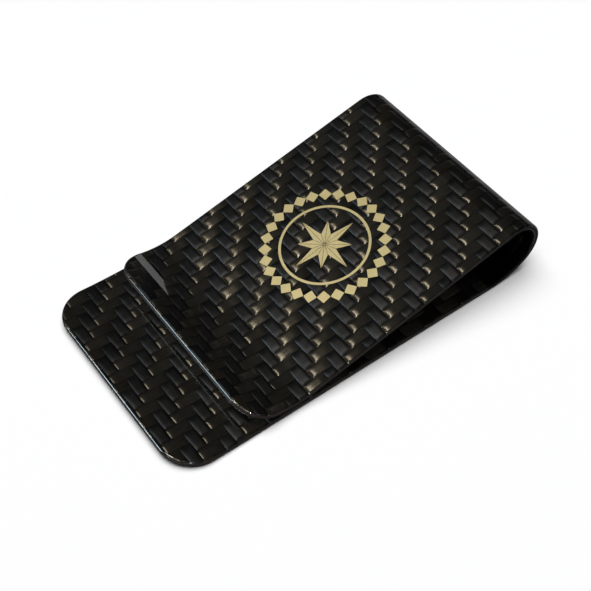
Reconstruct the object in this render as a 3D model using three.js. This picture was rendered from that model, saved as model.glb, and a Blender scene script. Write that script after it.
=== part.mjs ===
// Money clip: one strip of carbon laminate bent back on itself in a teardrop loop. The lower leaf is the
// base, the loop is the spring, and the upper leaf is the arm, which rests on the base and ends in a
// flared thumb lip. Five plies run through the whole strip, and a printed emblem sits on the arm.
//
// Millimetres. +X points along the clip towards the loop, +Y across it and +Z up. The origin is under the
// middle of the clip, on the surface that it lies on.

import * as THREE from 'three';

const { degToRad } = THREE.MathUtils;

// Laminate
const STRIP_WIDTH = 40;
const PLY_THICKNESS = 0.22;
const PLY_NAMES = ['outer_twill_ply', 'core_ply_1', 'core_ply_2', 'core_ply_3', 'inner_twill_ply'];
const TIP_CORNER_RADIUS = 6;
const LIP_CORNER_RADIUS = 5.4;

// Side view, along the laminate's middle
const TIP_LENGTH = 4;
const TIP_RISE = degToRad(5.2); // the base's tip is lifted by this angle
const TIP_RISE_RADIUS = 85;
const BASE_FLAT_LENGTH = 49.6;
const SWEEP_RADIUS = 12.8; // the loop's gentle lower side
const SWEEP_ANGLE = degToRad(33);
const NOSE_RADIUS = 4.9; // the loop's tight back
const LEAF_SLOPE = degToRad(13.3); // the arm falls by this angle towards the lip
const LIP_RADIUS = 15.3;
const LIP_FLARE = degToRad(27); // the lip's edge rises by this angle
const LIP_EDGE_LENGTH = 2;
const REST_GAP = 0.05; // between the arm's lowest line and the base

// Emblem
const EMBLEM_DISTANCE = 23.3; // its centre, down the leaf from the loop
const EMBLEM_GAP = 0.02; // the clear film under the print
const PRINT_THICKNESS = 0.04;
const RING_RADIUS = 7.6;
const RING_WIDTH = 0.45;
const STAR_RADII = [6.4, 2.2, 4.8, 2.2]; // a long point, a waist, a short point and a waist
const STAR_LONG_POINTS = 4;
const BORDER_RADIUS = 10.1;
const BORDER_LINE = 0.14; // width of the line that joins the lozenges
const LOZENGE_REACH = 1.15; // how far a lozenge stands out on each side of that line
const LOZENGES = 28;

// Facets
const ARC_STEP = degToRad(5);
const CORNER_STEPS = 8;
const SHORTEST_FACET = 0.2;
const RING_SEGMENTS = 24;

// The strip's middle line, walked from the base's tip to the lip's edge. Each stretch is straight, or an
// arc that turns by `turn`, where a positive turn brings the strip up and back over the base. The leaf is
// as long as it takes to bring the arm down to the base.
const thickness = PLY_NAMES.length * PLY_THICKNESS;
const halfThickness = thickness / 2;
const noseTurn = Math.PI + LEAF_SLOPE - SWEEP_ANGLE;
const noseCentreHeight = halfThickness
  + SWEEP_RADIUS * (1 - Math.cos(SWEEP_ANGLE)) + NOSE_RADIUS * Math.cos(SWEEP_ANGLE);
const leafStartHeight = noseCentreHeight + NOSE_RADIUS * Math.cos(LEAF_SLOPE);
const armLowestHeight = thickness + REST_GAP + halfThickness;
const leafEndHeight = armLowestHeight + LIP_RADIUS * (1 - Math.cos(LEAF_SLOPE));
const leafLength = (leafStartHeight - leafEndHeight) / Math.sin(LEAF_SLOPE);

const straight = (zone, length) => ({ zone, length, turn: 0 });
const arc = (zone, radius, turn) => ({ zone, length: radius * Math.abs(turn), turn });

const nose = arc('spring', NOSE_RADIUS, noseTurn);
const leaf = straight('arm', leafLength);
const stretches = [
  straight('base', TIP_LENGTH),
  arc('base', TIP_RISE_RADIUS, TIP_RISE),
  straight('base', BASE_FLAT_LENGTH),
  arc('spring', SWEEP_RADIUS, SWEEP_ANGLE),
  nose,
  leaf,
  arc('arm', LIP_RADIUS, -LEAF_SLOPE - LIP_FLARE),
  straight('arm', LIP_EDGE_LENGTH),
];
const totalLength = stretches.reduce((sum, { length }) => sum + length, 0);

// The point at a distance from a stretch's start, with the strip's heading there.
function pointOn({ start, length, turn }, distance) {
  if (turn === 0) {
    return {
      x: start.x + distance * Math.cos(start.heading),
      z: start.z + distance * Math.sin(start.heading),
      heading: start.heading,
    };
  }
  const radius = length / turn;
  const heading = start.heading + distance / radius;
  return {
    x: start.x + radius * (Math.sin(heading) - Math.sin(start.heading)),
    z: start.z - radius * (Math.cos(heading) - Math.cos(start.heading)),
    heading,
  };
}

// Gives each stretch its start. The base's flat comes out level, with its underside at height 0.
function layOut(tipX) {
  const tipZ = halfThickness
    + TIP_LENGTH * Math.sin(TIP_RISE) + TIP_RISE_RADIUS * (1 - Math.cos(TIP_RISE));
  let start = { x: tipX, z: tipZ, heading: -TIP_RISE };
  let along = 0;
  for (const stretch of stretches) {
    stretch.start = start;
    stretch.startAlong = along;
    start = pointOn(stretch, stretch.length);
    along += stretch.length;
  }
}

// The tip's front and the loop's back are equally far from the origin.
layOut(0);
const noseCentreX = nose.start.x - NOSE_RADIUS * Math.sin(nose.start.heading);
const noseBackX = noseCentreX + NOSE_RADIUS + halfThickness;
const tipFrontX = -halfThickness * Math.sin(TIP_RISE);
layOut(-(noseBackX + tipFrontX) / 2);

// A point of the strip: `along` its line, `across` it, and `height` above its middle on the inner side.
function onStrip(along, across, height) {
  const stretch = stretches.findLast(({ startAlong }) => startAlong <= along);
  const { x, z, heading } = pointOn(stretch, along - stretch.startAlong);
  return [x - height * Math.sin(heading), across, z + height * Math.cos(heading)];
}

// Half the strip's width, less what a corner's round takes off it.
function halfWidth(along) {
  const cornerLoss = (radius, distance) => (distance < radius
    ? radius - Math.sqrt(radius ** 2 - (radius - distance) ** 2)
    : 0);
  return STRIP_WIDTH / 2
    - cornerLoss(TIP_CORNER_RADIUS, along)
    - cornerLoss(LIP_CORNER_RADIUS, totalLength - along);
}

// The places along the strip where a zone's plies have their facets' edges.
function stationsOf(zone) {
  const own = stretches.filter((stretch) => stretch.zone === zone);
  const start = own[0].startAlong;
  const end = own.at(-1).startAlong + own.at(-1).length;
  const wanted = [];
  for (const { startAlong, length, turn } of own) {
    const steps = Math.max(1, Math.ceil(Math.abs(turn) / ARC_STEP));
    for (let i = 0; i < steps; i += 1) wanted.push(startAlong + length * i / steps);
  }
  for (let i = 1; i <= CORNER_STEPS; i += 1) {
    const share = 1 - Math.cos(Math.PI / 2 * i / CORNER_STEPS);
    wanted.push(TIP_CORNER_RADIUS * share, totalLength - LIP_CORNER_RADIUS * share);
  }
  const stations = [start];
  for (const along of wanted.sort((a, b) => a - b)) {
    if (along - stations.at(-1) > SHORTEST_FACET && end - along > SHORTEST_FACET) stations.push(along);
  }
  return [...stations, end];
}

// Moves each of a geometry's points to where `place` puts it.
function reshape(geometry, place) {
  const position = geometry.getAttribute('position');
  for (let i = 0; i < position.count; i += 1) {
    position.setXYZ(i, ...place(position.getX(i), position.getY(i), position.getZ(i)));
  }
  geometry.computeVertexNormals();
  return geometry;
}

// One ply of one zone: a box with a facet between each two stations, bent onto the strip.
function plyGeometry(zone, layer) {
  const stations = stationsOf(zone);
  const facets = stations.length - 1;
  const box = new THREE.BoxGeometry(facets, 2, PLY_THICKNESS, facets, 1, 1);
  const layerHeight = (layer + 0.5) * PLY_THICKNESS - halfThickness;
  return reshape(box, (x, y, z) => {
    const along = stations[Math.round(x + facets / 2)];
    return onStrip(along, y * halfWidth(along), layerHeight + z);
  });
}

// A flat shape printed on the arm's outer face, drawn about the emblem's centre with +X towards the loop.
function printGeometry(shape) {
  const extrusion = new THREE.ExtrudeGeometry(shape, {
    depth: PRINT_THICKNESS,
    bevelEnabled: false,
    curveSegments: RING_SEGMENTS,
  });
  const centreAlong = leaf.startAlong + EMBLEM_DISTANCE;
  return reshape(extrusion, (x, y, z) => onStrip(centreAlong - x, y, -halfThickness - EMBLEM_GAP - z));
}

// Draws a closed outline about the centre, through radii that repeat in turn.
function zigzag(outline, radii, repeats) {
  const count = radii.length * repeats;
  const points = Array.from({ length: count }, (_, i) => {
    const angle = 2 * Math.PI * i / count;
    const radius = radii[i % radii.length];
    return new THREE.Vector2(radius * Math.cos(angle), radius * Math.sin(angle));
  });
  return outline.setFromPoints(points);
}

function starShape() {
  return zigzag(new THREE.Shape(), STAR_RADII, STAR_LONG_POINTS);
}

function ringShape() {
  const ring = new THREE.Shape().absarc(0, 0, RING_RADIUS + RING_WIDTH / 2, 0, 2 * Math.PI);
  ring.holes.push(new THREE.Path().absarc(0, 0, RING_RADIUS - RING_WIDTH / 2, 0, 2 * Math.PI));
  return ring;
}

function borderShape() {
  const outside = [BORDER_RADIUS + LOZENGE_REACH, BORDER_RADIUS + BORDER_LINE / 2];
  const inside = [BORDER_RADIUS - LOZENGE_REACH, BORDER_RADIUS - BORDER_LINE / 2];
  const border = zigzag(new THREE.Shape(), outside, LOZENGES);
  border.holes.push(zigzag(new THREE.Path(), inside, LOZENGES));
  return border;
}

const twill = new THREE.MeshStandardMaterial({ color: 0x1d1b19, roughness: 0.2, metalness: 0 });
const core = new THREE.MeshStandardMaterial({ color: 0x101010, roughness: 0.4, metalness: 0 });
const gold = new THREE.MeshStandardMaterial({ color: 0xcbb57b, roughness: 0.35, metalness: 0.7 });

function sheet(name, geometry, material) {
  const mesh = new THREE.Mesh(geometry, material);
  mesh.name = name;
  return mesh;
}

// The five plies of one zone, from the strip's outer face to its inner face.
function laminate(zone) {
  const plies = PLY_NAMES.map((plyName, layer) => {
    const material = plyName.includes('twill') ? twill : core;
    return sheet(`${zone}_${plyName}`, plyGeometry(zone, layer), material);
  });
  return new THREE.Group().add(...plies);
}

const emblem = new THREE.Group().add(
  sheet('emblem_star', printGeometry(starShape()), gold),
  sheet('emblem_ring', printGeometry(ringShape()), gold),
  sheet('emblem_border', printGeometry(borderShape()), gold),
);

const moneyClip = new THREE.Group().add(laminate('base'), laminate('spring'), laminate('arm'), emblem);

export default moneyClip;
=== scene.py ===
"""Money clip: the finished surfaces of one bent strip of carbon laminate and of the emblem printed on it.

Metres, in the clip's own frame: +X points along the clip towards the loop, +Y across it and +Z up. The strip
is made flat and then bent. A distance along it is measured from the base's tip.
"""

import math

import bmesh
import bpy
from bpy.props import FloatProperty, FloatVectorProperty, IntProperty, PointerProperty
from bpy.types import Operator, Panel, PropertyGroup
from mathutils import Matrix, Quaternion, Vector
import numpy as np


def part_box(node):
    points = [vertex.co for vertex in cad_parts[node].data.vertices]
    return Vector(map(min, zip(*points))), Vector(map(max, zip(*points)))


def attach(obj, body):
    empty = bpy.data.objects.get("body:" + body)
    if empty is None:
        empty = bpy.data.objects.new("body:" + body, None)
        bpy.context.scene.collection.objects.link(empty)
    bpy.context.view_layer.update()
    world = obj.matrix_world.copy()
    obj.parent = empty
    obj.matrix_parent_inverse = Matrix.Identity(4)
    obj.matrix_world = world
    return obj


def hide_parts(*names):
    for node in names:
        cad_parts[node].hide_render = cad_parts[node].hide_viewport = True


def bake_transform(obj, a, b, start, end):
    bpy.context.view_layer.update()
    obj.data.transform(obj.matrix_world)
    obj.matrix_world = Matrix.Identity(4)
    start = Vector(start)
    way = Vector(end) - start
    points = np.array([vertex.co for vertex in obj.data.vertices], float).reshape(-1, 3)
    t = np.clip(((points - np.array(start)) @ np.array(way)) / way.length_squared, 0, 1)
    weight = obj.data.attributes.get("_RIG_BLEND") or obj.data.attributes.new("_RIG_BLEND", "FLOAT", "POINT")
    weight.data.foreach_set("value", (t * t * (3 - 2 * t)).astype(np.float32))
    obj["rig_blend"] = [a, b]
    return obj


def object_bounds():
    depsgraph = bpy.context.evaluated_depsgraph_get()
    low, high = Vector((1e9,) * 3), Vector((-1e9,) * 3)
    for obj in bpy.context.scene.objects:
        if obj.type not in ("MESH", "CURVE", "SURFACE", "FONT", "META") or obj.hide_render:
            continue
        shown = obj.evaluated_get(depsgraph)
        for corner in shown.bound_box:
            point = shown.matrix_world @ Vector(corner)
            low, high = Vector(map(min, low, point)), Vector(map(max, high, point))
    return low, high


bl_info = {
    "name": "Money Clip",
    "version": (1, 0, 0),
    "blender": (4, 5, 0),
    "location": "View3D > Sidebar > Money Clip",
    "description": "Builds a bent carbon money clip with a printed emblem, and its studio",
    "category": "Add Mesh",
}

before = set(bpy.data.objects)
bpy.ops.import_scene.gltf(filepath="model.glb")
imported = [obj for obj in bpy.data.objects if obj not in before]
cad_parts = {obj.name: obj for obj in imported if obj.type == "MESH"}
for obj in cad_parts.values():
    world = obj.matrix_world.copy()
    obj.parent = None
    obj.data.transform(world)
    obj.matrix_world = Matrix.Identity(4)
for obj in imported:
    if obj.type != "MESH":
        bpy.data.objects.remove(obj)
CAD_LOW, CAD_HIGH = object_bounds()

MM = 0.001
BASE_PLIES = [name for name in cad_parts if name.startswith("base_")]
SPRING_PLIES = [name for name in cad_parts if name.startswith("spring_")]
ARM_PLIES = [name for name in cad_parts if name.startswith("arm_")]
FIRST_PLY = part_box("base_outer_twill_ply")
SECOND_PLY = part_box("base_core_ply_1")
PLY_THICKNESS = SECOND_PLY[0].z - FIRST_PLY[0].z
STRIP_WIDTH = FIRST_PLY[1].y - FIRST_PLY[0].y
FLAT_END_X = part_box("spring_outer_twill_ply")[0].x

TOW_MAP = "tows"  # the UV map: one unit is one tow on the faces, and one ply across the rim
DISTANCE = "distance"  # each vertex's distance along the strip
FACE_SLOT, RIM_SLOT = 0, 1  # the laminate's material slots


# ---------------------------------------------------------------- sizes and colours


def length(name, description, default):
    return FloatProperty(name=name, description=description, default=default, unit="LENGTH", precision=5)


def angle(name, description, degrees):
    return FloatProperty(name=name, description=description, default=math.radians(degrees), subtype="ANGLE")


def colour(name, description, default):
    return FloatVectorProperty(name=name, description=description, default=default, size=3, min=0.0, max=1.0,
                               subtype="COLOR")


def shift(name, description, default):
    return FloatVectorProperty(name=name, description=description, default=default, size=2)


class LaminateSettings(PropertyGroup):
    """The strip's section, its outline and the run of bends from the base's tip to the lip's edge."""

    width: length("Width", "Across the strip", STRIP_WIDTH)
    thickness: length("Thickness", "All the plies together", PLY_THICKNESS * len(BASE_PLIES))
    tip_corner: length("Tip corner", "Radius of the base tip's corners", 6 * MM)
    lip_corner: length("Lip corner", "Radius of the lip's corners", 5.4 * MM)
    rim: length("Rim", "Radius that the clear coat gives the cut edge", 0.42 * MM)
    tip_length: length("Tip", "Straight stretch at the base's tip", 4 * MM)
    rise_radius: length("Rise radius", "Radius of the base tip's lift", 85 * MM)
    rise: angle("Rise", "How far the base's tip is lifted", 5.2)
    flat_length: length("Flat", "The part of the base that lies flat", 49.6 * MM)
    sweep_radius: length("Sweep radius", "Radius of the loop's lower side", 12.8 * MM)
    sweep: angle("Sweep", "Turn of the loop's lower side", 33)
    nose_radius: length("Nose radius", "Radius of the loop's tight back", 4.9 * MM)
    slope: angle("Slope", "How steeply the arm falls towards the lip", 13.3)
    lip_radius: length("Lip radius", "Radius of the thumb lip", 15.3 * MM)
    flare: angle("Flare", "How far the lip's edge is lifted", 27)
    lip_length: length("Lip edge", "Straight stretch at the lip's edge", 2 * MM)
    rest_gap: length("Rest gap", "Between the arm's lowest line and the base", 0.05 * MM)
    seam: length("Seam", "How far the loop's piece runs into the straight stretches", 0.5 * MM)


class WeaveSettings(PropertyGroup):
    """The 2x2 twill, its resin and the strip's cut edge."""

    tow: length("Tow", "Distance from one tow to the next", 1.94 * MM)
    outer_shift: shift("Outer shift", "Where the outer ply's weave starts, in tows", (3.95, 0.52))
    inner_shift: shift("Inner shift", "Where the inner ply's weave starts, in tows", (0.70, 1.14))
    relief: length("Relief", "How far a tow stands proud of the ply", 0.19 * MM)
    filament: length("Filament", "How far a tow's filaments stand proud of it", 0.002 * MM)
    # Painted light and shade: both tow directions are the same fibre. The lengthwise tows get a brighter,
    # warm colour, a painted lit copy. The crosswise tows get a darker colour, a painted shaded copy.
    lengthwise_lit: colour("Lengthwise", "Tows along the strip, under amber resin", (0.080, 0.070, 0.055))
    crosswise_shaded: colour("Crosswise", "Tows across the strip", (0.025, 0.024, 0.024))
    resin: colour("Resin", "Resin between the tows", (0.004, 0.004, 0.004))
    edge_dark: colour("Dark edge", "The cut edge's darker grain", (0.016, 0.012, 0.011))
    edge_light: colour("Light edge", "The cut edge's lighter grain", (0.045, 0.036, 0.034))
    glue: colour("Glue", "The line between two plies in the cut edge", (0.003, 0.003, 0.003))


class EmblemSettings(PropertyGroup):
    """The printed star, ring and border on the arm."""

    distance: length("Distance", "The emblem's centre, down the leaf from the loop", 23.3 * MM)
    height: length("Height", "The print's top over the laminate", 0.06 * MM)
    long_point: length("Long point", "Reach of the star's long points", 6.4 * MM)
    short_point: length("Short point", "Reach of the star's short points", 4.8 * MM)
    waist: length("Waist", "Radius between the star's points", 2.2 * MM)
    star_centre: length("Star centre", "Radius of the dot where the star's facets meet", 0.14 * MM)
    groove: length("Groove", "Half the gap between the star's facets", 0.035 * MM)
    ring_radius: length("Ring radius", "Middle of the plain ring", 7.6 * MM)
    ring_width: length("Ring width", "Width of the plain ring", 0.45 * MM)
    border_radius: length("Border radius", "Middle of the border", 10.1 * MM)
    lozenge_reach: length("Lozenge reach", "How far a lozenge stands out on each side", 1.15 * MM)
    lozenge_round: length("Lozenge round", "How far a lozenge's corners are rounded", 0.12 * MM)
    lozenges: IntProperty(name="Lozenges", description="Lozenges in the border", default=28, min=8)
    gold: colour("Gold", "Metallic ink", (0.77, 0.62, 0.31))


class StudioSettings(PropertyGroup):
    """The floor, the room and the camera."""

    azimuth: angle("Azimuth", "Where the camera stands round the clip", -35.68)
    elevation: angle("Elevation", "The camera's height above the horizon", 51.23)
    roll: angle("Roll", "The camera's turn about its own axis", -0.72)
    distance: length("Distance", "From the camera to its target", 181.0 * MM)
    lens: FloatProperty(name="Lens", description="Focal length in millimetres", default=68.88, min=1.0)
    floor_radius: length("Floor radius", "From the clip to the floor's edge", 0.7)
    bounce: colour("Bounce", "Floor as the clip mirrors it", (0.16, 0.16, 0.16))
    floor: colour("Floor", "Pale matt floor", (0.86, 0.86, 0.86))
    room: colour("Room", "The dark room that the coat mirrors", (0.012, 0.013, 0.015))
    backdrop: colour("Backdrop", "The pale wall behind the floor", (0.95, 0.95, 0.95))


SETTINGS = {
    "clip_laminate": LaminateSettings,
    "clip_weave": WeaveSettings,
    "clip_emblem": EmblemSettings,
    "clip_studio": StudioSettings,
}


# ---------------------------------------------------------------- the strip's line


class Strip:
    """The flat strip's stations and the places that they reach when it is bent."""

    def __init__(self, sizes):
        self.sizes = sizes
        self.half = sizes.thickness / 2
        nose_turn = math.pi + sizes.slope - sizes.sweep
        lip_turn = sizes.slope + sizes.flare

        # Heights of the strip's middle: the loop's centre, and the leaf's two ends
        sweep_rise = sizes.sweep_radius * (1 - math.cos(sizes.sweep))
        nose_height = self.half + sweep_rise + sizes.nose_radius * math.cos(sizes.sweep)
        self.leaf_top = nose_height + sizes.nose_radius * math.cos(sizes.slope)
        lip_drop = sizes.lip_radius * (1 - math.cos(sizes.slope))
        leaf_foot = sizes.thickness + sizes.rest_gap + self.half + lip_drop
        leaf_length = (self.leaf_top - leaf_foot) / math.sin(sizes.slope)

        # Stations: distances from the base's tip
        self.rise_start = sizes.tip_length
        self.flat_start = self.rise_start + sizes.rise_radius * sizes.rise
        self.sweep_start = self.flat_start + sizes.flat_length
        self.nose_start = self.sweep_start + sizes.sweep_radius * sizes.sweep
        self.leaf_start = self.nose_start + sizes.nose_radius * nose_turn
        self.lip_start = self.leaf_start + leaf_length
        self.edge_start = self.lip_start + sizes.lip_radius * lip_turn
        self.length = self.edge_start + sizes.lip_length
        self.loop_start = self.sweep_start - sizes.seam
        self.loop_end = self.leaf_start + sizes.seam

        self.tip_x = FLAT_END_X - self.sweep_start
        self.bends = [  # where each bend starts and ends, and its turn, from the lip back to the flat
            (self.lip_start, self.edge_start, -lip_turn),
            (self.nose_start, self.leaf_start, nose_turn),
            (self.sweep_start, self.nose_start, sizes.sweep),
        ]

    def leaf_point(self, distance, height):
        """A point of the leaf: its distance down from the loop, and its height over the strip's middle."""
        sizes = self.sizes
        leaf_x = FLAT_END_X + (sizes.sweep_radius - sizes.nose_radius) * math.sin(sizes.sweep)
        leaf_x -= sizes.nose_radius * math.sin(sizes.slope)
        return Vector((
            leaf_x - distance * math.cos(sizes.slope) - height * math.sin(sizes.slope),
            0,
            self.leaf_top - distance * math.sin(sizes.slope) + height * math.cos(sizes.slope),
        ))


# ---------------------------------------------------------------- modelling

FACE_LEAN = 0.5  # the flat strip's top and underside have normals that rise or fall by more than this
BEND_STEP = math.radians(1.5)
FOLD_MARGIN = 0.026 * MM  # a vertex nearer than this to a fold line lies on it
CORNER_SEGMENTS = 18
RIM_SEGMENTS = 4
LAMINATE_CREASE = math.radians(40)  # an edge that turns by more than this stays sharp


def add_primitive(add, name, **how):
    """Adds a primitive with nothing else selected, and puts its place and size into its mesh."""
    bpy.ops.object.select_all(action="DESELECT")
    add(**how)
    piece = bpy.context.object
    piece.name = name
    piece.data.name = name
    bpy.ops.object.transform_apply(location=True, rotation=True, scale=True)
    return piece


def only(piece):
    """Makes a piece the one selected and active object."""
    bpy.ops.object.select_all(action="DESELECT")
    piece.select_set(True)
    bpy.context.view_layer.objects.active = piece


def select(piece, kind, wanted):
    """In edit mode, selects the vertices, edges or faces that pass a test, and nothing else."""
    bpy.ops.mesh.select_mode(type=kind)
    bpy.ops.mesh.select_all(action="DESELECT")
    shape = bmesh.from_edit_mesh(piece.data)
    elements = {"VERT": shape.verts, "EDGE": shape.edges, "FACE": shape.faces}[kind]
    for element in elements:
        if wanted(element):
            element.select_set(True)
    shape.select_flush_mode()
    bmesh.update_edit_mesh(piece.data)


def smooth(piece, crease):
    """Shades a piece smoothly between its creases, and lets its wide faces keep their own direction."""
    only(piece)
    bpy.ops.object.shade_smooth_by_angle(angle=crease)
    weighting = piece.modifiers.new("weighting", "WEIGHTED_NORMAL")
    weighting.keep_sharp = True
    weighting.weight = 100
    bpy.ops.object.modifier_apply(modifier=weighting.name)


def shows_weave(face):
    """Whether a face of the flat strip is its top or underside, and not its rim."""
    return abs(face.normal.z) > FACE_LEAN


def flat_blank(strip):
    """The strip before it is bent: its round corners, its rounded rim and a fold line at each bend's step."""
    sizes = strip.sizes
    blank = add_primitive(
        bpy.ops.mesh.primitive_cube_add, "laminate", size=1,
        location=(strip.tip_x + strip.length / 2, 0, strip.half),
        scale=(strip.length, sizes.width, sizes.thickness),
    )
    bpy.ops.object.mode_set(mode="EDIT")
    round_corners(blank, sizes.tip_corner, lambda x: x < strip.tip_x + strip.half)
    round_corners(blank, sizes.lip_corner, lambda x: x > strip.tip_x + strip.length - strip.half)
    select(blank, "EDGE", lambda edge: len({shows_weave(face) for face in edge.link_faces}) > 1)
    bpy.ops.mesh.bevel(offset=sizes.rim, segments=RIM_SEGMENTS, affect="EDGES", clamp_overlap=True)
    for distance in fold_lines(strip):
        bpy.ops.mesh.select_all(action="SELECT")
        bpy.ops.mesh.bisect(plane_co=(strip.tip_x + distance, 0, 0), plane_no=(1, 0, 0))
    bpy.ops.object.mode_set(mode="OBJECT")
    return blank


def round_corners(blank, radius, at_end):
    """Bevels the upright edges at one end of the flat blank."""
    select(blank, "EDGE", lambda edge: all(at_end(vertex.co.x) for vertex in edge.verts)
           and edge.verts[0].co.xy == edge.verts[1].co.xy)
    bpy.ops.mesh.bevel(offset=radius, segments=CORNER_SEGMENTS, affect="EDGES")


def steps_of(start, end, turn):
    """A bend's fold lines: each one's distance along the strip, with the angle that it turns."""
    count = math.ceil(abs(turn) / BEND_STEP)
    for k in range(count + 1):
        whole = 0 < k < count
        yield start + (end - start) * k / count, turn / count * (1.0 if whole else 0.5)


def fold_lines(strip):
    """Every distance where the flat strip needs a line across it: the bends' steps and the two seams."""
    rise = steps_of(strip.rise_start, strip.flat_start, strip.sizes.rise)
    lines = [distance for distance, _ in rise]
    for start, end, turn in strip.bends:
        lines += [distance for distance, _ in steps_of(start, end, turn)]
    return sorted([*lines, strip.loop_start, strip.loop_end])


def mark_strip(blank, strip, weave):
    """Writes each vertex's distance and the tow map, and gives the rim its own material slot."""
    shape = bmesh.new()
    shape.from_mesh(blank.data)
    distance = shape.verts.layers.float.new(DISTANCE)
    for vertex in shape.verts:
        vertex[distance] = vertex.co.x - strip.tip_x
    tows = shape.loops.layers.uv.new(TOW_MAP)
    for face in shape.faces:
        woven = shows_weave(face)
        upward = face.normal.z > 0
        face.material_index = FACE_SLOT if woven else RIM_SLOT
        shift_along, shift_across = weave.inner_shift if upward else weave.outer_shift
        for corner in face.loops:
            x, y, z = corner.vert.co
            along = (x - strip.tip_x) / weave.tow
            if woven:
                across = y if upward else -y
                corner[tows].uv = (along + shift_along, across / weave.tow + shift_across)
            else:
                corner[tows].uv = (along + abs(y) / weave.tow, z / PLY_THICKNESS)
    shape.to_mesh(blank.data)
    shape.free()


def bend(blank, strip):
    """Turns what lies past each fold line about the strip's middle, from the far end back to the flat."""
    only(blank)
    bpy.ops.object.mode_set(mode="EDIT")
    shape = bmesh.from_edit_mesh(blank.data)
    distance = shape.verts.layers.float[DISTANCE]

    def turn_about(station, turn, past):
        select(blank, "VERT", past)
        bpy.ops.transform.rotate(value=turn, orient_axis="Y",
                                 center_override=(strip.tip_x + station, 0, strip.half))

    for start, end, whole_turn in strip.bends:
        for station, turn in reversed(list(steps_of(start, end, whole_turn))):
            turn_about(station, turn, lambda vertex, s=station: vertex[distance] > s + FOLD_MARGIN)
    for station, turn in steps_of(strip.rise_start, strip.flat_start, strip.sizes.rise):
        turn_about(station, -turn, lambda vertex, s=station: vertex[distance] < s - FOLD_MARGIN)
    bpy.ops.object.mode_set(mode="OBJECT")


def cut_off(blank, name, low, high):
    """Parts the stretch between two distances from the strip."""
    only(blank)
    bpy.ops.object.mode_set(mode="EDIT")
    shape = bmesh.from_edit_mesh(blank.data)
    distance = shape.verts.layers.float[DISTANCE]
    select(blank, "FACE", lambda face: all(low - FOLD_MARGIN < vertex[distance] < high + FOLD_MARGIN
                                           for vertex in face.verts))
    bpy.ops.mesh.separate(type="SELECTED")
    bpy.ops.object.mode_set(mode="OBJECT")
    piece = next(part for part in bpy.context.selected_objects if part != blank)
    piece.name = name
    piece.data.name = name
    return piece


def close_ends(piece):
    """Closes a piece where it was cut from its neighbour, and finishes its shading."""
    only(piece)
    bpy.ops.object.mode_set(mode="EDIT")
    bpy.ops.mesh.select_mode(type="EDGE")
    bpy.ops.mesh.select_all(action="DESELECT")
    bpy.ops.mesh.select_non_manifold()
    bpy.ops.mesh.fill()
    piece.active_material_index = RIM_SLOT
    bpy.ops.object.material_slot_assign()
    bpy.ops.mesh.select_all(action="SELECT")
    bpy.ops.mesh.normals_make_consistent(inside=False)
    bpy.ops.object.mode_set(mode="OBJECT")
    piece.data.attributes.remove(piece.data.attributes[DISTANCE])
    smooth(piece, LAMINATE_CREASE)


# ---------------------------------------------------------------- materials

TWILL_REPEAT = 4.0  # tows until a 2x2 twill repeats
FLOAT_LENGTH = 2.0  # tows that a float passes over
WANDER = 0.22  # the width of the band that a tow strays in, in tows
WANDER_PACE = 0.35  # how fast it strays, where 1 is once in a tow
CROWN_POWER = 4.0  # a tow's section: 2 would be a round top, and more is flatter
POOL_HEIGHT = 0.14  # the share of a tow's height that resin covers
FILAMENTS = 16.0  # lines across a tow
QUARTER_TURN = 0.25
MOST_NOISE = (0.3, 0.7)  # most of a noise's values lie between these


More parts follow.
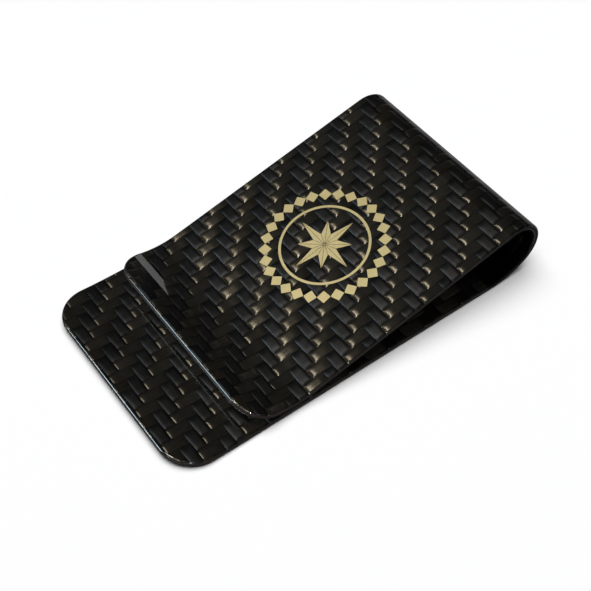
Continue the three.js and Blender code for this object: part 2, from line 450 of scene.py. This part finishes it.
class Graph:
    """A new material's nodes, written as sums."""

    def __init__(self, name):
        self.material = bpy.data.materials.get(name) or bpy.data.materials.new(name)
        self.material.use_nodes = True
        self.tree = self.material.node_tree
        self.tree.nodes.clear()
        self.shader = self.add("ShaderNodeBsdfPrincipled")
        output = self.add("ShaderNodeOutputMaterial")
        self.tree.links.new(self.shader.outputs["BSDF"], output.inputs["Surface"])

    def add(self, kind, **settings):
        node = self.tree.nodes.new(kind)
        for key, value in settings.items():
            setattr(node, key, value)
        return node

    def put(self, socket, value):
        """Links a socket to another node's output, or sets it to a value."""
        if isinstance(value, bpy.types.NodeSocket):
            self.tree.links.new(value, socket)
        elif hasattr(value, "__len__") and socket.type == "RGBA":
            socket.default_value = (*value, 1.0)
        else:
            socket.default_value = value

    def fill(self, sockets, values):
        for socket, value in zip(sockets, values):
            self.put(socket, value)

    def set(self, **sockets):
        """Sets the shader's own sockets by name."""
        for name, value in sockets.items():
            self.put(self.shader.inputs[name.replace("_", " ")], value)

    def maths(self, operation, *values):
        node = self.add("ShaderNodeMath", operation=operation)
        self.fill(node.inputs, values)
        return node.outputs[0]

    def times(self, value, factor):
        return self.maths("MULTIPLY", value, factor)

    def vector(self, x, y, z=0.0):
        node = self.add("ShaderNodeCombineXYZ")
        self.fill(node.inputs, (x, y, z))
        return node.outputs[0]

    def tow_place(self):
        """The tow map's two directions."""
        parts = self.add("ShaderNodeSeparateXYZ")
        self.put(parts.inputs[0], self.add("ShaderNodeUVMap", uv_map=TOW_MAP).outputs[0])
        return parts.outputs[0], parts.outputs[1]

    def object_place(self):
        return self.add("ShaderNodeTexCoord").outputs["Object"]

    def choose(self, mask, when_off, when_on):
        """A number between two, by a mask."""
        node = self.add("ShaderNodeMix", data_type="FLOAT")
        self.fill((node.inputs[0], node.inputs[2], node.inputs[3]), (mask, when_off, when_on))
        return node.outputs[0]

    def blend(self, mask, when_off, when_on, blend_type="MIX"):
        """A colour between two, by a mask."""
        node = self.add("ShaderNodeMix", data_type="RGBA", blend_type=blend_type)
        self.fill((node.inputs[0], node.inputs[6], node.inputs[7]), (mask, when_off, when_on))
        return node.outputs[2]

    def toned(self, tint, tone):
        """A colour made darker or lighter by a number."""
        return self.blend(1.0, tint, self.vector(tone, tone, tone), "MULTIPLY")

    def noise(self, place, scale=1.0, detail=2.0, roughness=0.5):
        node = self.add("ShaderNodeTexNoise")
        self.put(node.inputs["Vector"], place)
        self.put(node.inputs["Scale"], scale)
        self.put(node.inputs["Detail"], detail)
        self.put(node.inputs["Roughness"], roughness)
        return node.outputs[0]

    def between(self, value, low, high, to_low=0.0, to_high=1.0):
        """Fits a value's range to another, clamped."""
        node = self.add("ShaderNodeMapRange", clamp=True)
        self.fill(node.inputs, (value, low, high, to_low, to_high))
        return node.outputs[0]

    def vary(self, noise, low, high):
        """A noise, spread between two numbers."""
        return self.between(noise, *MOST_NOISE, low, high)

    def bump(self, height, distance, strength=1.0, normal=None):
        node = self.add("ShaderNodeBump")
        self.put(node.inputs["Strength"], strength)
        self.put(node.inputs["Distance"], distance)
        self.put(node.inputs["Height"], height)
        if normal is not None:
            self.put(node.inputs["Normal"], normal)
        return node.outputs[0]


def wandering_place(g):
    """The place on the strip in tows, where each tow strays a little in its own way."""
    along, across = g.tow_place()
    sway_along = g.noise(g.vector(g.times(along, WANDER_PACE), across), detail=1.0)
    sway_across = g.noise(g.vector(along, g.times(across, WANDER_PACE), 7.0), detail=1.0)
    return (g.maths("MULTIPLY_ADD", g.maths("SUBTRACT", sway_across, 0.5), WANDER, along),
            g.maths("MULTIPLY_ADD", g.maths("SUBTRACT", sway_along, 0.5), WANDER, across))


def crown(g, offset):
    """A tow's flat-topped section: 1 in its middle, and 0 at an offset of 1 to either side."""
    return g.maths("SUBTRACT", 1.0, g.maths("POWER", g.maths("ABSOLUTE", offset), CROWN_POWER))


def twill_material(weave):
    """A 2x2 twill of carbon tows in resin, under a smooth clear coat."""
    g = Graph("carbon_twill")
    along, across = wandering_place(g)
    column = g.maths("FLOOR", along)
    row = g.maths("FLOOR", across)

    # A float is a stretch of tow that lies on top: 0 to 2 tows along it, and 0 to 1 across it.
    on_length = g.maths("FLOORED_MODULO", g.maths("SUBTRACT", along, row), TWILL_REPEAT)
    next_column = g.maths("SUBTRACT", g.maths("SUBTRACT", across, column), 1.0)
    on_cross = g.maths("FLOORED_MODULO", next_column, TWILL_REPEAT)
    lengthwise_lit = g.maths("LESS_THAN", on_length, FLOAT_LENGTH)
    on_float = g.choose(lengthwise_lit, on_cross, on_length)
    over_float = g.choose(lengthwise_lit, g.maths("FRACT", along), g.maths("FRACT", across))
    height = g.times(crown(g, g.maths("SUBTRACT", on_float, 1.0)),
                     crown(g, g.maths("MULTIPLY_ADD", over_float, 2.0, -1.0)))

    # Filaments are fine lines along each tow, and no two tows have quite the same tone.
    tow_along = g.choose(lengthwise_lit, across, along)
    tow_across = g.choose(lengthwise_lit, along, across)
    filaments = g.noise(g.vector(g.times(tow_along, 0.9), g.times(tow_across, FILAMENTS)),
                        detail=3.0, roughness=0.65)
    tow_tone = g.noise(g.vector(g.times(tow_along, 0.25), g.maths("FLOOR", tow_across), 3.0),
                       scale=1.7, detail=0.0)
    tone = g.times(g.between(filaments, 0.25, 0.75, 0.45, 1.35), g.vary(tow_tone, 0.75, 1.2))
    # The lengthwise tows take the lit colour and the crosswise tows the darker, shaded colour. This is
    # painted light and shade on one fibre, on top of the anisotropic gloss.
    fibre = g.toned(g.blend(lengthwise_lit, weave.crosswise_shaded, weave.lengthwise_lit), tone)

    bare = g.between(height, 0.0, POOL_HEIGHT)
    gloss = g.choose(lengthwise_lit, 0.42, 0.27)
    g.set(
        Base_Color=g.blend(bare, weave.resin, fibre),
        Metallic=g.choose(lengthwise_lit, 0.85, 0.80),
        Roughness=g.choose(bare, 0.7, gloss),
        Anisotropic=g.choose(lengthwise_lit, 0.5, 0.90),
        Anisotropic_Rotation=g.times(lengthwise_lit, QUARTER_TURN),
        Tangent=g.add("ShaderNodeTangent", direction_type="UV_MAP", uv_map=TOW_MAP).outputs[0],
        Normal=g.bump(filaments, weave.filament, normal=g.bump(height, weave.relief)),
        Specular_IOR_Level=0.1, IOR=1.5,
        Coat_Weight=1.0, Coat_Roughness=0.02, Coat_IOR=1.5,
    )
    return g.material


def edge_material(weave, name, coated_side):
    """The cut edge: five dark plies. The coat covers the inner rim (1), the outer rim (-1) or both (0)."""
    g = Graph(name)
    along, height = g.tow_place()
    sway = g.noise(g.vector(along, 0.0), scale=0.8, detail=1.0)
    in_ply = g.maths("FRACT", g.maths("MULTIPLY_ADD", sway, 0.5, height))
    glue = g.between(g.maths("ABSOLUTE", g.maths("SUBTRACT", in_ply, 0.5)), 0.34, 0.48)
    from_middle = g.maths("SUBTRACT", height, len(BASE_PLIES) / 2)
    if coated_side:
        to_rim = g.times(from_middle, coated_side)
    else:
        to_rim = g.maths("ABSOLUTE", from_middle)
    grain = g.noise(g.vector(g.times(along, 6.0), g.times(height, 3.0)), detail=3.0, roughness=0.6)
    body = g.blend(g.between(grain, 0.35, 0.7), weave.edge_dark, weave.edge_light)
    g.set(
        Base_Color=g.blend(glue, body, weave.glue),
        Metallic=0.0, Roughness=0.45, Specular_IOR_Level=0.1, IOR=1.5,
        Coat_Weight=g.between(to_rim, 0.9, 1.4, 0.12, 1.0), Coat_Roughness=0.03, Coat_IOR=1.5,
    )
    return g.material


def gold_material(emblem):
    """Metallic ink: satin gold with a fine grain."""
    g = Graph("gold_print")
    place = g.object_place()
    grain = g.noise(place, scale=9000.0, roughness=0.6)
    cloud = g.noise(place, scale=700.0)
    tone = g.times(g.vary(grain, 0.86, 1.1), g.vary(cloud, 0.94, 1.05))
    g.set(
        Base_Color=g.toned(emblem.gold, tone),
        Metallic=0.35, Roughness=g.vary(grain, 0.36, 0.5), IOR=1.5,
        Normal=g.bump(grain, 0.006 * MM, strength=0.6),
        Coat_Weight=0.35, Coat_Roughness=0.12,
    )
    return g.material


def floor_material(studio):
    """A matt floor, darker where the clip mirrors it than where it is seen."""
    g = Graph("studio_floor")
    dust = g.noise(g.object_place(), scale=60.0)
    seen = g.add("ShaderNodeLightPath").outputs["Is Camera Ray"]
    g.set(
        Base_Color=g.blend(seen, studio.bounce, studio.floor),
        Roughness=g.vary(dust, 0.75, 0.85), Specular_IOR_Level=0.1,
    )
    return g.material


# ---------------------------------------------------------------- studio

FLOOR_CORNERS = 96
FLOOR_DROP = 0.01 * MM  # the floor's depth under the clip
SENSOR_WIDTH = 36.0
TARGET_OFFSET = Vector((-3.77, -5.42, -0.09)) * MM  # the camera's target, from the middle of the clip's box
LIGHTS = [
    # name, place, width and height in metres, turn in degrees, power in watts, colour, and lit group
    ("floor_tent", (0.05, 0.10, 1.60), (1.50, 1.50), 0.0, 37.6, (1.0, 1.0, 1.0), "floor"),
    ("key_card", (-0.36, 0.375, 1.40), (0.28, 0.28), 0.0, 8.5, (1.0, 0.96, 0.86), "clip"),
    ("rim_card", (-1.20, 0.70, 0.58), (0.45, 0.60), 0.0, 14.0, (0.70, 0.90, 1.0), "clip"),
    ("spark_lamp", (-0.513, -0.713, 0.483), (0.05, 0.05), 0.0, 5.0, (1.0, 1.0, 1.0), "leaves"),
    ("lip_card", (0.746, 0.748, 0.575), (0.10, 0.16), -32.5, 0.07, (1.0, 1.0, 1.0), "arm"),
]


def lit_group(name):
    """The collection of the pieces that a light falls on."""
    return bpy.data.collections.get(name) or bpy.data.collections.new(name)


def join_groups(piece, *names):
    for name in names:
        lit_group(name).objects.link(piece)


def make_light(scene, name, place, size, turn, power, tint, group):
    """A soft rectangular light that faces the clip. It falls on one group of pieces only."""
    light = bpy.data.lights.new(name, "AREA")
    light.shape = "RECTANGLE"
    light.size, light.size_y = size
    light.energy = power
    light.color = tint
    lamp = bpy.data.objects.new(name, light)
    lamp.location = place
    lamp.rotation_mode = "QUATERNION"
    turned = Quaternion((0, 0, 1), math.radians(turn))
    lamp.rotation_quaternion = (-Vector(place)).to_track_quat("-Z", "Y") @ turned
    lamp.light_linking.receiver_collection = lit_group(group)
    scene.collection.objects.link(lamp)


def make_floor(studio):
    """A wide pale floor under the clip."""
    floor = add_primitive(bpy.ops.mesh.primitive_circle_add, "floor", vertices=FLOOR_CORNERS,
                          radius=studio.floor_radius, fill_type="NGON", location=(0, 0, -FLOOR_DROP))
    floor.data.materials.append(floor_material(studio))
    join_groups(floor, "floor")


def make_room(scene, studio):
    """The backdrop is pale where it is seen, and the room is dark where the coat mirrors it."""
    scene.world = bpy.data.worlds.new("studio_room")
    scene.world.use_nodes = True
    tree = scene.world.node_tree
    tree.nodes.clear()
    output = tree.nodes.new("ShaderNodeOutputWorld")
    mix = tree.nodes.new("ShaderNodeMixShader")
    for index, tone in ((1, studio.room), (2, studio.backdrop)):
        background = tree.nodes.new("ShaderNodeBackground")
        background.inputs["Color"].default_value = (*tone, 1.0)
        tree.links.new(background.outputs[0], mix.inputs[index])
    path = tree.nodes.new("ShaderNodeLightPath")
    tree.links.new(path.outputs["Is Camera Ray"], mix.inputs[0])
    tree.links.new(mix.outputs[0], output.inputs["Surface"])
    scene.view_settings.view_transform = "Standard"


def make_camera(scene, studio):
    """A camera that looks down on the clip from the tip's near side."""
    data = bpy.data.cameras.new("camera")
    data.lens = studio.lens
    data.sensor_width = SENSOR_WIDTH
    data.clip_start = 1 * MM
    camera = bpy.data.objects.new("camera", data)
    scene.collection.objects.link(camera)
    level = math.cos(studio.elevation)
    back = Vector((
        math.sin(studio.azimuth) * level,
        -math.cos(studio.azimuth) * level,
        math.sin(studio.elevation),
    ))
    target = (CAD_LOW + CAD_HIGH) / 2 + TARGET_OFFSET
    camera.location = target + back * studio.distance
    camera.rotation_mode = "QUATERNION"
    turned = Quaternion((0, 0, 1), studio.roll)
    camera.rotation_quaternion = (-back).to_track_quat("-Z", "Y") @ turned
    scene.camera = camera


# ---------------------------------------------------------------- emblem

STAR_LONG_POINTS = 4
STAR_REPEAT = 4  # corners until the star repeats: a long point, a waist, a short point and a waist
STAR_CORNERS = STAR_LONG_POINTS * STAR_REPEAT
DOT_CORNERS = 12
RING_CORNERS = 144
ROUND_SEGMENTS = 3
PRINT_CREASE = math.radians(30)


def finish_print(piece, emblem, strip, node):
    """Gives a flat shape its thickness, lays it on the leaf and hands it to the arm."""
    bpy.ops.mesh.select_all(action="SELECT")
    bpy.ops.mesh.extrude_region_move(TRANSFORM_OT_translate={"value": (0, 0, emblem.height)})
    bpy.ops.mesh.select_all(action="SELECT")
    bpy.ops.mesh.normals_make_consistent(inside=False)
    bpy.ops.transform.rotate(value=strip.sizes.slope, orient_axis="Y", center_override=(0, 0, 0))
    bpy.ops.transform.translate(value=strip.leaf_point(emblem.distance, strip.half))
    bpy.ops.object.mode_set(mode="OBJECT")
    piece.data.materials.append(gold_material(emblem))
    smooth(piece, PRINT_CREASE)
    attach(piece, "arm")
    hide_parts(node)
    join_groups(piece, "clip")


def star_place(vertex):
    """A corner's place in the star's repeat: 0 is a long point, 1 and 3 are waists, and 2 a short point."""
    angle_between = 2 * math.pi / STAR_CORNERS
    return round(math.atan2(vertex.co.y, vertex.co.x) / angle_between) % STAR_REPEAT


# ---------------------------------------------------------------- operators


class MakeLaminate(Operator):
    """Make the base, the loop and the arm from one strip of laminate"""

    bl_idname = "clip.make_laminate"
    bl_label = "Laminate"

    def execute(self, context):
        strip = Strip(context.scene.clip_laminate)
        weave = context.scene.clip_weave
        blank = flat_blank(strip)
        mark_strip(blank, strip, weave)
        bend(blank, strip)
        blank.data.materials.append(twill_material(weave))
        blank.data.materials.append(edge_material(weave, "carbon_edge", 0))
        spring = cut_off(blank, "spring_laminate", strip.loop_start, strip.loop_end)
        arm = cut_off(blank, "arm_laminate", strip.loop_end, strip.length)
        base = blank
        base.name = "base_laminate"
        base.data.name = "base_laminate"
        for piece in (base, spring, arm):
            close_ends(piece)
        base.data.materials[RIM_SLOT] = edge_material(weave, "carbon_edge_base", 1)
        arm.data.materials[RIM_SLOT] = edge_material(weave, "carbon_edge_arm", -1)
        arm_z = strip.leaf_point(strip.sizes.seam, -strip.half).z
        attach(base, "base")
        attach(arm, "arm")
        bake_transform(spring, "base", "arm", start=(0, 0, strip.sizes.thickness), end=(0, 0, arm_z))
        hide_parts(*BASE_PLIES)
        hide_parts(*SPRING_PLIES)
        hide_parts(*ARM_PLIES)
        for piece in (base, spring, arm):
            join_groups(piece, "clip")
        join_groups(base, "leaves")
        join_groups(arm, "leaves", "arm")
        return {"FINISHED"}


class MakeStar(Operator):
    """Make the emblem's eight-pointed star"""

    bl_idname = "clip.make_star"
    bl_label = "Star"

    def execute(self, context):
        emblem = context.scene.clip_emblem
        strip = Strip(context.scene.clip_laminate)
        star = add_primitive(bpy.ops.mesh.primitive_circle_add, "print_star", vertices=STAR_CORNERS,
                             radius=emblem.long_point, fill_type="NGON")
        bpy.ops.object.mode_set(mode="EDIT")
        for radius, places in ((emblem.short_point, (2,)), (emblem.waist, (1, 3))):
            select(star, "VERT", lambda vertex, wanted=places: star_place(vertex) in wanted)
            size = radius / emblem.long_point
            bpy.ops.transform.resize(value=(size, size, 1), center_override=(0, 0, 0))
        bpy.ops.mesh.select_mode(type="FACE")
        bpy.ops.mesh.select_all(action="SELECT")
        bpy.ops.mesh.poke()
        bpy.ops.mesh.inset(thickness=emblem.groove, use_individual=True)
        bpy.ops.mesh.select_all(action="INVERT")
        bpy.ops.mesh.delete(type="FACE")
        bpy.ops.mesh.primitive_circle_add(vertices=DOT_CORNERS, radius=emblem.star_centre, fill_type="NGON",
                                          location=(0, 0, 0))
        finish_print(star, emblem, strip, "emblem_star")
        return {"FINISHED"}


class MakeRing(Operator):
    """Make the emblem's plain ring"""

    bl_idname = "clip.make_ring"
    bl_label = "Ring"

    def execute(self, context):
        emblem = context.scene.clip_emblem
        ring = add_primitive(bpy.ops.mesh.primitive_circle_add, "print_ring", vertices=RING_CORNERS,
                             radius=emblem.ring_radius + emblem.ring_width / 2, fill_type="NGON")
        bpy.ops.object.mode_set(mode="EDIT")
        bpy.ops.mesh.select_all(action="SELECT")
        bpy.ops.mesh.inset(thickness=emblem.ring_width)
        bpy.ops.mesh.delete(type="FACE")
        finish_print(ring, emblem, Strip(context.scene.clip_laminate), "emblem_ring")
        return {"FINISHED"}


class MakeBorder(Operator):
    """Make the emblem's border of lozenges"""

    bl_idname = "clip.make_border"
    bl_label = "Border"

    def execute(self, context):
        emblem = context.scene.clip_emblem
        border = add_primitive(bpy.ops.mesh.primitive_circle_add, "print_border", vertices=4,
                               radius=emblem.lozenge_reach, fill_type="NGON",
                               location=(emblem.border_radius, 0, 0))
        half_pitch = math.pi / emblem.lozenges * emblem.border_radius
        bpy.ops.object.mode_set(mode="EDIT")
        bpy.ops.mesh.select_all(action="SELECT")
        bpy.ops.transform.resize(value=(1, half_pitch / emblem.lozenge_reach, 1),
                                 center_override=(emblem.border_radius, 0, 0))
        bpy.ops.mesh.bevel(offset=emblem.lozenge_round, segments=ROUND_SEGMENTS, affect="VERTICES")
        bpy.ops.mesh.select_all(action="SELECT")
        bpy.ops.mesh.spin(steps=emblem.lozenges - 1, dupli=True,
                          angle=2 * math.pi * (emblem.lozenges - 1) / emblem.lozenges,
                          center=(0, 0, 0), axis=(0, 0, 1))
        finish_print(border, emblem, Strip(context.scene.clip_laminate), "emblem_border")
        return {"FINISHED"}


class MakeStudio(Operator):
    """Make the floor, the lights and the camera"""

    bl_idname = "clip.make_studio"
    bl_label = "Studio"

    def execute(self, context):
        studio = context.scene.clip_studio
        make_floor(studio)
        make_room(context.scene, studio)
        make_camera(context.scene, studio)
        for light in LIGHTS:
            make_light(context.scene, *light)
        return {"FINISHED"}


class ClipPanel(Panel):
    """The clip's pieces and their sizes"""

    bl_idname = "VIEW3D_PT_money_clip"
    bl_label = "Money Clip"
    bl_space_type = "VIEW_3D"
    bl_region_type = "UI"
    bl_category = "Money Clip"

    def draw(self, context):
        for operator in OPERATORS:
            self.layout.operator(operator.bl_idname)
        for name, group in SETTINGS.items():
            box = self.layout.box()
            settings = getattr(context.scene, name)
            for key in group.__annotations__:
                box.prop(settings, key)


OPERATORS = [MakeStudio, MakeLaminate, MakeStar, MakeRing, MakeBorder]


def register():
    for group in SETTINGS.values():
        bpy.utils.register_class(group)
    for operator in OPERATORS:
        bpy.utils.register_class(operator)
    bpy.utils.register_class(ClipPanel)
    for name, group in SETTINGS.items():
        setattr(bpy.types.Scene, name, PointerProperty(type=group))


def unregister():
    for name in SETTINGS:
        delattr(bpy.types.Scene, name)
    bpy.utils.unregister_class(ClipPanel)
    for operator in reversed(OPERATORS):
        bpy.utils.unregister_class(operator)
    for group in reversed(SETTINGS.values()):
        bpy.utils.unregister_class(group)


def main():
    register()
    bpy.ops.clip.make_studio()
    bpy.ops.clip.make_laminate()
    bpy.ops.clip.make_star()
    bpy.ops.clip.make_ring()
    bpy.ops.clip.make_border()


if __name__ == "__main__":
    main()
